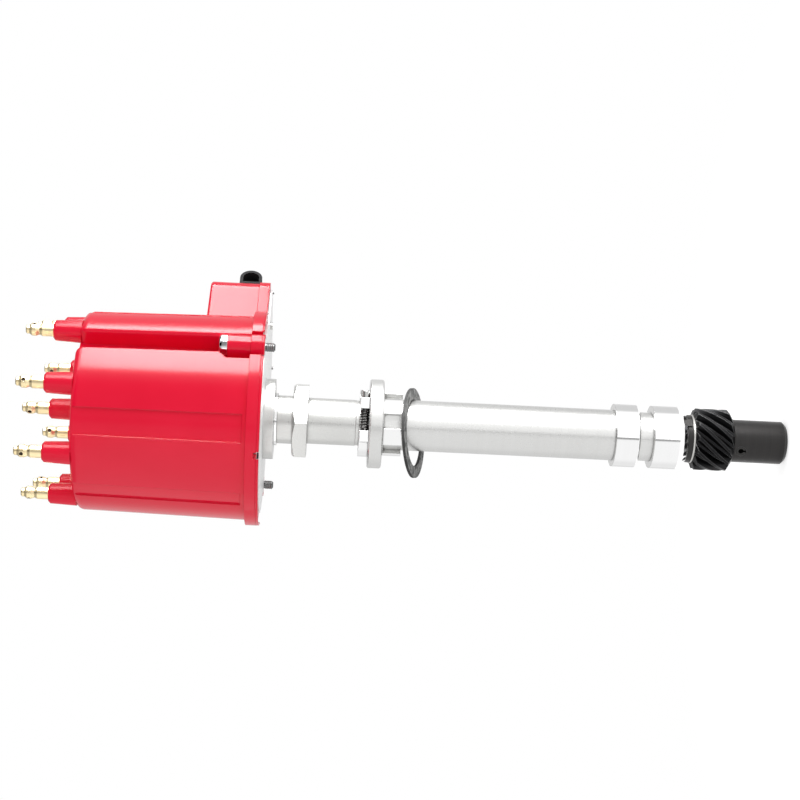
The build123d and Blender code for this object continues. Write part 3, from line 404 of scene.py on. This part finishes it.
def turned_brass():
    """Brass terminals, turned and a little dull where they were handled."""
    finish = Finish("brass", Metallic=1.0)
    rings = finish.effect(TURNING, Rings=5200.0)
    marks = finish.effect(HANDLING, Scale=160.0, Cover=0.3)
    tone = finish.mix(rings["Tone"], (0.84, 0.66, 0.36), (0.96, 0.84, 0.56))
    finish.feed("Base Color", finish.mix(finish.weaken(marks["Mask"], 0.4), tone, (0.62, 0.44, 0.20)))
    finish.feed("Roughness", finish.ranged(rings["Tone"], 0.2, 0.8, 0.30, 0.42))
    finish.bump(rings["Height"], 0.00001, edge=0.0002)
    return finish.material


def pale_aluminium(name, pilots, blasted=(), lands=()):
    """Machined casting: satin all over, with ground pilots and blasted white faces between given heights.
    Lands are ground as well, but only beyond a radius, so the slots between them stay satin. Painted
    shade darkens the upper tube towards the cap and the inner corners."""
    finish = Finish(name)
    rings = finish.effect(TURNING, Rings=3000.0)
    grain = finish.effect(GRAIN, Scale=1400.0, Pits=0.25)
    marks = finish.effect(HANDLING, Scale=45.0, Cover=0.25)
    corner_shade = finish.effect(CORNER_SHADE, Reach=0.0018)
    tone = finish.mix(rings["Tone"], (0.68, 0.68, 0.67), (0.76, 0.76, 0.75))
    # Painted shade: the skin gets darker towards the cap.
    tone = finish.mix(finish.ranged(finish.height, *UPPER_TUBE), tone, (0.64, 0.64, 0.625))
    skin = finish.mix(finish.weaken(marks["Mask"], 0.2), tone, (0.60, 0.59, 0.57))
    satin = finish.ranged(grain["Height"], 0.2, 0.8, 0.26, 0.36)
    metal = finish.maths("MULTIPLY_ADD", marks["Mask"], -0.03, 1.0)
    ground = 0.0
    for low, high in pilots:
        ground = finish.maths("ADD", finish.band(finish.height, low, high), ground)
    for low, high, radius in lands:
        beyond = finish.ranged(finish.from_axis(finish.place), radius - BLEND, radius)
        ground = finish.maths("MULTIPLY_ADD", finish.band(finish.height, low, high), beyond, ground)
    bright = finish.mix(rings["Tone"], (0.93, 0.93, 0.93), (0.99, 0.99, 0.99))
    skin = finish.mix(ground, skin, bright)
    satin = finish.maths("MULTIPLY", satin, finish.maths("MULTIPLY_ADD", ground, -0.68, 1.0))
    for low, high in blasted:
        white = finish.band(finish.height, low, high)
        skin = finish.mix(white, skin, (0.96, 0.96, 0.955))
        metal = finish.maths("SUBTRACT", metal, finish.weaken(white, 0.85))
    # Painted shade: the base colour darkens in inner corners.
    finish.feed("Base Color", finish.mix(finish.weaken(corner_shade["Mask"], 0.75), skin, (0.09, 0.085, 0.08)))
    finish.feed("Metallic", metal)
    finish.feed("Roughness", satin)
    relief = finish.maths("ADD", rings["Height"], finish.weaken(grain["Height"], 0.5))
    finish.bump(relief, 0.000006, edge=0.00045)
    return finish.material


def fastener_black_band(name, line, low, high, bright, rough):
    """Bright fastener that is black along part of its line, between two distances. On the pinch screw this black
    band is painted shade in the clamp's gap.
    """
    finish = Finish(name, Metallic=1.0)
    rings = finish.effect(TURNING, Rings=9000.0)
    marks = finish.effect(HANDLING, Scale=120.0, Cover=0.4)
    corner_shade = finish.effect(CORNER_SHADE, Reach=0.001)
    tone = finish.mix(rings["Tone"], shade(bright, 0.85), bright)
    tone = finish.mix(finish.weaken(marks["Mask"], 0.3), tone, shade(bright, 0.6))
    # Painted shade: darker in inner corners.
    tone = finish.mix(finish.weaken(corner_shade["Mask"], 0.35), tone, (0.01, 0.01, 0.01))
    along = finish.vector("DOT_PRODUCT", finish.place, line)
    # Black band along the line: on the pinch screw, painted shade in the clamp's gap.
    tone = finish.mix(finish.band(along, low, high, 0.00005), tone, (0.12, 0.12, 0.12))
    finish.feed("Base Color", tone)
    finish.feed("Roughness", finish.ranged(rings["Tone"], 0.2, 0.8, rough * 0.75, rough * 1.3))
    finish.bump(rings["Height"], 0.000004, edge=0.0003)
    return finish.material


def ground_steel(name, colour, rough):
    """Turned or ground metal with an uneven film of oil."""
    finish = Finish(name, Metallic=1.0)
    rings = finish.effect(TURNING, Rings=4000.0)
    marks = finish.effect(HANDLING, Scale=120.0, Cover=0.4)
    tone = finish.mix(rings["Tone"], shade(colour, 0.8), colour)
    finish.feed("Base Color", finish.mix(finish.weaken(marks["Mask"], 0.4), tone, shade(colour, 0.55)))
    finish.feed("Roughness", finish.ranged(rings["Tone"], 0.2, 0.8, rough * 0.75, rough * 1.3))
    finish.bump(rings["Height"], 0.00001)
    return finish.material


def black_gear():
    """Black oxide on the teeth, a thinner grey skin on the hub below them, and lighter edges: edge wear and a
    painted highlight along the tooth crests.
    """
    finish = Finish("gear_black", Metallic=0.85)
    rings = finish.effect(TURNING, Rings=2600.0)
    grain = finish.effect(GRAIN, Scale=1800.0, Pits=0.3)
    edges = finish.effect(EDGES, Reach=0.00035)
    teeth = finish.mix(grain["Tone"], (0.008, 0.008, 0.009), (0.020, 0.020, 0.021))
    hub = finish.mix(rings["Tone"], (0.022, 0.021, 0.021), (0.050, 0.048, 0.047))
    skin = finish.mix(finish.ranged(finish.height, GEAR_END + BLEND, GEAR_END - BLEND), teeth, hub)
    # Lighter on the edges: edge wear and a painted highlight along the tooth crests.
    finish.feed("Base Color", finish.mix(finish.weaken(edges["Mask"], 0.6), skin, (0.16, 0.16, 0.16)))
    finish.feed("Roughness", finish.ranged(grain["Tone"], 0, 1, 0.30, 0.42))
    finish.bump(finish.maths("ADD", rings["Height"], grain["Height"]), 0.00002, edge=0.0004)
    return finish.material


def pressed_fibre():
    """Mottled grey gasket board, black on its cut rims."""
    finish = Finish("gasket_fibre")
    grain = finish.effect(GRAIN, Scale=2600.0, Pits=0.2)
    edges = finish.effect(EDGES, Reach=0.0009)
    strands = finish.put("TexNoise", {"Vector": finish.place, "Scale": 330.0, "Detail": 3.0,
                                      "Distortion": 0.8}).outputs["Fac"]
    tone = finish.mix(finish.ranged(strands, 0.36, 0.62), (0.030, 0.032, 0.032), (0.30, 0.30, 0.295))
    upright = finish.maths("ABSOLUTE", finish.put("SeparateXYZ", {"Vector": finish.facing}).outputs["Z"])
    dark = finish.maths("MAXIMUM", edges["Mask"], finish.ranged(upright, 0.8, 0.4))
    finish.feed("Base Color", finish.mix(finish.weaken(dark, 0.9), tone, (0.012, 0.012, 0.012)))
    finish.feed("Roughness", finish.ranged(grain["Tone"], 0, 1, 0.62, 0.82))
    finish.bump(finish.maths("ADD", strands, grain["Height"]), 0.00006)
    return finish.material


def moulded_dark(name, low, high, rough, scale=900.0, ior=1.5):
    """Matt moulding, tape or pressed powder, with a painted highlight that makes its edges a little lighter."""
    finish = Finish(name, IOR=ior)
    grain = finish.effect(GRAIN, Scale=scale, Pits=0.25)
    edges = finish.effect(EDGES, Reach=0.0003)
    body = finish.mix(grain["Tone"], low, high)
    # Painted highlight: a little lighter on the edges.
    finish.feed("Base Color", finish.mix(finish.weaken(edges["Mask"], 0.4), body, shade(high, 1.5)))
    finish.feed("Roughness", finish.ranged(grain["Tone"], 0, 1, rough * 0.85, rough * 1.15))
    finish.bump(grain["Height"], 0.00004)
    return finish.material


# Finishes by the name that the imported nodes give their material.
FINISHES = {
    "cap_red": moulded_red(),
    "brass": turned_brass(),
    "cast_alu": pale_aluminium("cast_alu", (PILOT_HIGH, PILOT_LOW, NECK_RING), blasted=(PLATE,)),
    "machined_alu": pale_aluminium("machined_alu", (CLAMP,), lands=((*SLEEVE, SLEEVE_LAND),)),
    "steel": ground_steel("steel", (0.62, 0.61, 0.59), 0.3),
    "dark_steel": ground_steel("dark_steel", (0.05, 0.049, 0.048), 0.36),
    "chrome": fastener_black_band("chrome", (0, 0, 1), *CAP_SCREW_BLACK, (0.78, 0.78, 0.79), 0.09),
    "bronze": ground_steel("bronze", (0.60, 0.42, 0.24), 0.38),
    "gear_black": black_gear(),
    "gasket_fibre": pressed_fibre(),
    "black_plastic": moulded_dark("black_plastic", (0.012, 0.012, 0.013), (0.030, 0.030, 0.032), 0.42,
                                  ior=1.12),
    "ferrite": moulded_dark("ferrite", (0.035, 0.034, 0.036), (0.075, 0.074, 0.076), 0.6, scale=1500.0),
    "coil_tape": moulded_dark("coil_tape", (0.30, 0.16, 0.05), (0.45, 0.26, 0.09), 0.5, scale=500.0),
    "carbon": moulded_dark("carbon", (0.02, 0.02, 0.021), (0.05, 0.05, 0.052), 0.55, scale=2400.0),
}
HOLE_SHADE = moulded_dark("hole_shade", (0.030, 0.018, 0.008), (0.060, 0.038, 0.018), 0.6, scale=2400.0)
ZINC_GREY = ground_steel("zinc_grey", (0.22, 0.22, 0.22), 0.34)
# Nodes whose finish differs from that of their material.
SPECIAL = {
    # The pinch screw's black band is painted shade in the clamp's gap.
    "pinch_screw": fastener_black_band("pinch_steel", PINCH_LINE, -PINCH_SHADED_HALF, PINCH_SHADED_HALF,
                                  (0.52, 0.52, 0.51), 0.26),
    "module_pins": ZINC_GREY,
}


def dress_nodes():
    """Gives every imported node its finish."""
    for title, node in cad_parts.items():
        for holder in node.material_slots:
            packed_name = holder.material.name.split(".")[0]
            holder.material = SPECIAL.get(title, FINISHES.get(packed_name, holder.material))


# ---------------------------------------------------------------- new pieces
def finish_piece(piece, name, body, finish):
    """Names a new piece, turns its normals out and puts its place into its mesh, then gives it smooth
    shading, its material and body."""
    piece.name = name
    piece.data.name = name
    bpy.ops.object.mode_set(mode="EDIT")
    bpy.ops.mesh.select_all(action="SELECT")
    bpy.ops.mesh.remove_doubles(threshold=DOUBLES)
    bpy.ops.mesh.normals_make_consistent(inside=False)
    bpy.ops.object.mode_set(mode="OBJECT")
    bpy.ops.object.transform_apply(location=True, rotation=True, scale=True)
    bpy.ops.object.shade_smooth_by_angle(angle=SMOOTH_ANGLE)
    piece.data.materials.clear()
    piece.data.materials.append(finish)
    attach(piece, body)
    return piece


def copy_piece(piece, name, matrix, body):
    """Copy with a mesh of its own, moved by a matrix that goes into the mesh."""
    bpy.ops.object.select_all(action="DESELECT")
    piece.select_set(True)
    bpy.context.view_layer.objects.active = piece
    bpy.ops.object.duplicate(linked=False)
    made = bpy.context.object
    made.name = name
    made.data.name = name
    made.matrix_world = matrix
    bpy.ops.object.transform_apply(location=True, rotation=True, scale=True)
    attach(made, body)


def apply_modifier(piece, kind, **settings):
    """Adds a modifier with its settings and makes it part of the mesh."""
    made = piece.modifiers.new(kind.lower(), kind)
    for name, value in settings.items():
        setattr(made, name, value)
    bpy.ops.object.modifier_apply(modifier=made.name)


def close_ends():
    """Fills the open ends of the piece in edit mode."""
    bpy.ops.mesh.select_all(action="DESELECT")
    bpy.ops.mesh.select_mode(type="EDGE")
    bpy.ops.mesh.select_non_manifold()
    bpy.ops.mesh.fill_holes(sides=0)


def wind(piece, pitch, turns, steps):
    """Carries a section round the Z axis and up, turn after turn, and closes both ends."""
    apply_modifier(piece, "SCREW", axis="Z", angle=2 * math.pi, screw_offset=pitch, iterations=turns,
                   steps=steps, render_steps=steps, use_merge_vertices=False)
    bpy.ops.object.mode_set(mode="EDIT")
    close_ends()
    bpy.ops.object.mode_set(mode="OBJECT")


def thread(name, radius, pitch, depth, length, location, rotation, body, finish):
    """Helical ridge of a screw thread: a triangle carried round and along the screw's line."""
    bpy.ops.object.select_all(action="DESELECT")
    corner = pitch / math.sqrt(3)
    bpy.ops.mesh.primitive_circle_add(vertices=3, radius=corner, location=(radius + depth / 3, 0, 0),
                                      rotation=(math.pi / 2, math.pi / 2, 0))
    piece = bpy.context.object
    bpy.ops.object.mode_set(mode="EDIT")
    bpy.ops.mesh.select_all(action="SELECT")
    bpy.ops.transform.resize(value=(depth / (1.5 * corner), 1, THREAD_WIDTH))
    bpy.ops.object.mode_set(mode="OBJECT")
    bpy.ops.object.transform_apply(location=True, rotation=True, scale=True)
    turns = max(1, round(length / pitch) - 1)
    wind(piece, pitch, turns, THREAD_STEPS)
    bpy.ops.object.mode_set(mode="EDIT")
    bpy.ops.mesh.select_all(action="SELECT")
    bpy.ops.transform.translate(value=(0, 0, -turns * pitch / 2))
    bpy.ops.object.mode_set(mode="OBJECT")
    piece.rotation_euler = rotation
    piece.location = location
    return finish_piece(piece, name, body, finish)


def build_threads():
    """Threads of the cap screws, below the base plate, and of the pinch screw, in the clamp's gap."""
    first = thread("cap_screw_thread_right", radius=0.00190, pitch=0.0009, depth=0.00022, length=0.0044,
                   location=(0, -CAP_SCREW_REACH, CAP_THREAD_LEVEL), rotation=(0, 0, 0),
                   body="housing", finish=ZINC_GREY)
    across = Matrix.Translation((0, 2 * CAP_SCREW_REACH, 0))
    copy_piece(first, "cap_screw_thread_left", across, "housing")
    pinch_place = (PINCH_REACH * math.cos(PINCH_TURN), PINCH_REACH * math.sin(PINCH_TURN), PINCH_LEVEL)
    thread("pinch_thread", radius=0.00165, pitch=0.0013, depth=0.00045, length=0.0108,
           location=pinch_place, rotation=(math.pi / 2, 0, PINCH_TURN),
           body="collar", finish=FINISHES["dark_steel"])


def skirt_part(name, start, sweep, radii, low, centre_y=0.0):
    """Part of a ring under the cap: its section as a plane, spun about the centre, with broken edges."""
    bpy.ops.object.select_all(action="DESELECT")
    middle = sum(radii) / 2
    place = (middle * math.cos(start), centre_y + middle * math.sin(start), (low + SKIRT_TOP) / 2)
    bpy.ops.mesh.primitive_plane_add(size=1, rotation=(math.pi / 2, 0, start), location=place)
    piece = bpy.context.object
    piece.scale = (radii[1] - radii[0], SKIRT_TOP - low, 1)
    bpy.ops.object.transform_apply(location=True, rotation=True, scale=True)
    bpy.ops.object.mode_set(mode="EDIT")
    bpy.ops.mesh.select_all(action="SELECT")
    bpy.ops.mesh.spin(steps=max(4, round(sweep / SKIRT_STEP)), angle=SPIN_WAY * sweep,
                      center=(0, centre_y, 0), axis=(0, 0, 1))
    bpy.ops.mesh.select_all(action="SELECT")
    bpy.ops.mesh.remove_doubles(threshold=DOUBLES)
    close_ends()
    bpy.ops.mesh.select_all(action="SELECT")
    bpy.ops.mesh.normals_make_consistent(inside=False)
    bpy.ops.object.mode_set(mode="OBJECT")
    apply_modifier(piece, "BEVEL", width=SKIRT_EDGE, segments=2, limit_method="ANGLE",
                   angle_limit=math.radians(50))
    return finish_piece(piece, name, "housing", FINISHES["cap_red"])


def build_skirts():
    """Skirt of the cap below its lip, and a half ring below each ear."""
    for name, start, end, low in SKIRT_ARCS:
        skirt_part(name, math.radians(start), math.radians(end - start), LIP, low)
    right = skirt_part("ear_skirt_right", math.pi, math.pi, EAR, SKIRT_LOW, centre_y=-CAP_SCREW_REACH)
    copy_piece(right, "ear_skirt_left", Matrix.Rotation(math.pi, 4, "Z"), "housing")


def build_gap_shade():
    """Small black block of painted shade in the skirt's gap."""
    bpy.ops.object.select_all(action="DESELECT")
    place = (GAP_SHADE_REACH * math.cos(GAP_SHADE_TURN), GAP_SHADE_REACH * math.sin(GAP_SHADE_TURN), GAP_SHADE_LEVEL)
    bpy.ops.mesh.primitive_cube_add(size=1, rotation=(0, 0, GAP_SHADE_TURN), location=place)
    piece = bpy.context.object
    piece.scale = GAP_SHADE_SIZE
    bpy.ops.object.transform_apply(location=True, rotation=True, scale=True)
    bpy.ops.object.mode_set(mode="EDIT")
    bpy.ops.mesh.select_all(action="SELECT")
    bpy.ops.mesh.bevel(offset=GAP_SHADE_EDGE, segments=2, affect="EDGES")
    bpy.ops.object.mode_set(mode="OBJECT")
    finish_piece(piece, "gap_shade_block", "housing", FINISHES["black_plastic"])


def hole_shade_bar(name, turn, location):
    """Painted shade in a cross hole of a terminal: a dark bar with a cupped face at each end."""
    bpy.ops.object.select_all(action="DESELECT")
    bpy.ops.mesh.primitive_cylinder_add(vertices=24, radius=SHADE_BAR_RADIUS, depth=SHADE_BAR_LENGTH)
    piece = bpy.context.object
    bpy.ops.object.mode_set(mode="EDIT")
    for side in (-1, 1):
        bpy.ops.mesh.select_mode(type="FACE")
        bpy.ops.mesh.select_all(action="DESELECT")
        bpy.ops.object.mode_set(mode="OBJECT")
        for face in piece.data.polygons:
            face.select = face.normal.z * side > 0.9
        bpy.ops.object.mode_set(mode="EDIT")
        for rim, sink in SHADE_BAR_CUP:
            bpy.ops.mesh.inset(thickness=rim)
            bpy.ops.transform.translate(value=(0, 0, -side * sink))
    bpy.ops.object.mode_set(mode="OBJECT")
    piece.rotation_euler = (0, math.pi / 2, turn)
    piece.location = location
    return finish_piece(piece, name, "housing", HOLE_SHADE)


def build_hole_shade_bars():
    """One bar of painted shade in each plug terminal, pointing at the shaft axis, and one in the coil terminal."""
    turn = math.atan2(TERMINAL_HOLE.y, TERMINAL_HOLE.x)
    first = hole_shade_bar("hole_plug_1", turn, TERMINAL_HOLE)
    for count in range(1, TERMINALS):
        step = Matrix.Rotation(2 * math.pi / TERMINALS * count, 4, "Z")
        copy_piece(first, "hole_plug_%d" % (count + 1), step, "housing")
    to_centre = Matrix.Rotation(-turn, 4, "Z") @ Matrix.Translation(-TERMINAL_HOLE)
    copy_piece(first, "hole_plug_coil", Matrix.Translation(COIL_HOLE) @ to_centre, "housing")


def build_spring():
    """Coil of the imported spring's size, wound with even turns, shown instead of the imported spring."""
    spring_low, spring_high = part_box("button_spring")
    radius = (spring_high[0] - spring_low[0] - SPRING_WIRE) / 2
    pitch = (spring_high[2] - spring_low[2] - SPRING_WIRE) / SPRING_COILS
    bpy.ops.object.select_all(action="DESELECT")
    bpy.ops.mesh.primitive_circle_add(vertices=12, radius=SPRING_WIRE / 2, rotation=(math.pi / 2, 0, 0),
                                      location=(radius, 0, spring_low[2] + SPRING_WIRE / 2))
    spring = bpy.context.object
    bpy.ops.object.transform_apply(location=True, rotation=True, scale=True)
    wind(spring, pitch, SPRING_COILS, SPRING_STEPS)
    finish_piece(spring, "spring_wire", "housing", FINISHES["steel"])
    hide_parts("button_spring")
    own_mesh(spring)


# ---------------------------------------------------------------- floor, world, lamps
def sees_white(nodes):
    """The ray's kind, and 1 for rays that see plain white: straight ones and those through glass."""
    ray = nodes.put("LightPath").outputs
    return ray, nodes.maths("MAXIMUM", ray["Is Camera Ray"], ray["Is Transmission Ray"])


def build_floor():
    """Pale floor that looks white, also in metal, and keeps the object's shadow."""
    bpy.ops.object.select_all(action="DESELECT")
    bpy.ops.mesh.primitive_circle_add(vertices=96, radius=FLOOR_RADIUS, fill_type="NGON",
                                      location=(0, 0, FLOOR_LEVEL))
    floor = bpy.context.object
    floor.name = "floor"
    bpy.ops.object.transform_apply(location=True)
    material = bpy.data.materials.new("floor_white")
    material.use_nodes = True
    material.node_tree.nodes.clear()
    nodes = Nodes(material.node_tree)
    ray, white = sees_white(nodes)
    shown = nodes.maths("MAXIMUM", white, ray["Is Glossy Ray"])
    paper = nodes.put("BsdfDiffuse", {"Color": grey(FLOOR_PAPER)})
    glow = nodes.put("Emission", {"Color": grey(1.0), "Strength": nodes.maths("MULTIPLY", shown, FLOOR_GLOW)})
    both = nodes.put("AddShader", {0: paper.outputs[0], 1: glow.outputs[0]})
    nodes.put("OutputMaterial", {"Surface": both.outputs[0]})
    floor.data.materials.append(material)


def build_world():
    """White to the camera, an even light for matt surfaces, and a studio of panels for polished metal."""
    world = bpy.data.worlds.new("studio")
    bpy.context.scene.world = world
    world.use_nodes = True
    world.cycles.sampling_method = "NONE"
    world.node_tree.nodes.clear()
    nodes = Nodes(world.node_tree)
    ray, white = sees_white(nodes)
    direction = nodes.put("TexCoord").outputs["Generated"]
    above = nodes.vector("DOT_PRODUCT", direction, object_direction(1, 0, 0))
    near = nodes.vector("DOT_PRODUCT", direction, object_direction(0, -1, 0))
    turn = nodes.maths("MULTIPLY", nodes.maths("ARCTAN2", above, near), math.degrees(1))
    mirrored = MIRRORED_LEVEL
    for low, high, soft, change in PANELS:
        mirrored = nodes.maths("MULTIPLY_ADD", nodes.band(turn, low, high, soft), change, mirrored)
    rise = nodes.put("SeparateXYZ", {"Vector": direction}).outputs["Z"]
    mirrored = nodes.maths("MULTIPLY_ADD", nodes.ranged(rise, *CAP_END_RAYS), CAP_END, mirrored)
    level = nodes.maths("MULTIPLY_ADD", white, 1.0 - WORLD_LEVEL, WORLD_LEVEL)
    extra = nodes.maths("MULTIPLY", ray["Is Glossy Ray"], nodes.maths("SUBTRACT", mirrored, WORLD_LEVEL))
    sky = nodes.put("Background", {"Color": grey(1.0), "Strength": nodes.maths("ADD", level, extra)})
    nodes.put("OutputWorld", {"Surface": sky.outputs[0]})


def softbox(name, up_angle, distance, size, radiance, along, mirrored):
    """Rectangular lamp beside the shaft, facing it. A mirrored one shows in polished surfaces alone, and
    any other lights matt ones alone."""
    data = bpy.data.lights.new(name, "AREA")
    data.shape = "RECTANGLE"
    data.size, data.size_y = size
    data.energy = LAMP_WATTS * size[0] * size[1] * radiance
    lamp = bpy.data.objects.new(name, data)
    bpy.context.collection.objects.link(lamp)
    angle = math.radians(up_angle)
    out = object_direction(math.sin(angle), -math.cos(angle), 0)
    length = Vector((0, 0, 1))
    aim = Matrix((length, out.cross(length), out)).transposed().to_4x4()
    lamp.matrix_world = Matrix.Translation(out * distance + length * along) @ aim
    lamp.visible_diffuse = not mirrored
    lamp.visible_glossy = mirrored
    lamp.visible_camera = False


bpy.context.scene.view_settings.view_transform = "Standard"
build_camera()
dress_nodes()
build_threads()
build_skirts()
build_gap_shade()
build_hole_shade_bars()
build_spring()
build_floor()
build_world()
for lamp in LAMPS:
    softbox(*lamp)
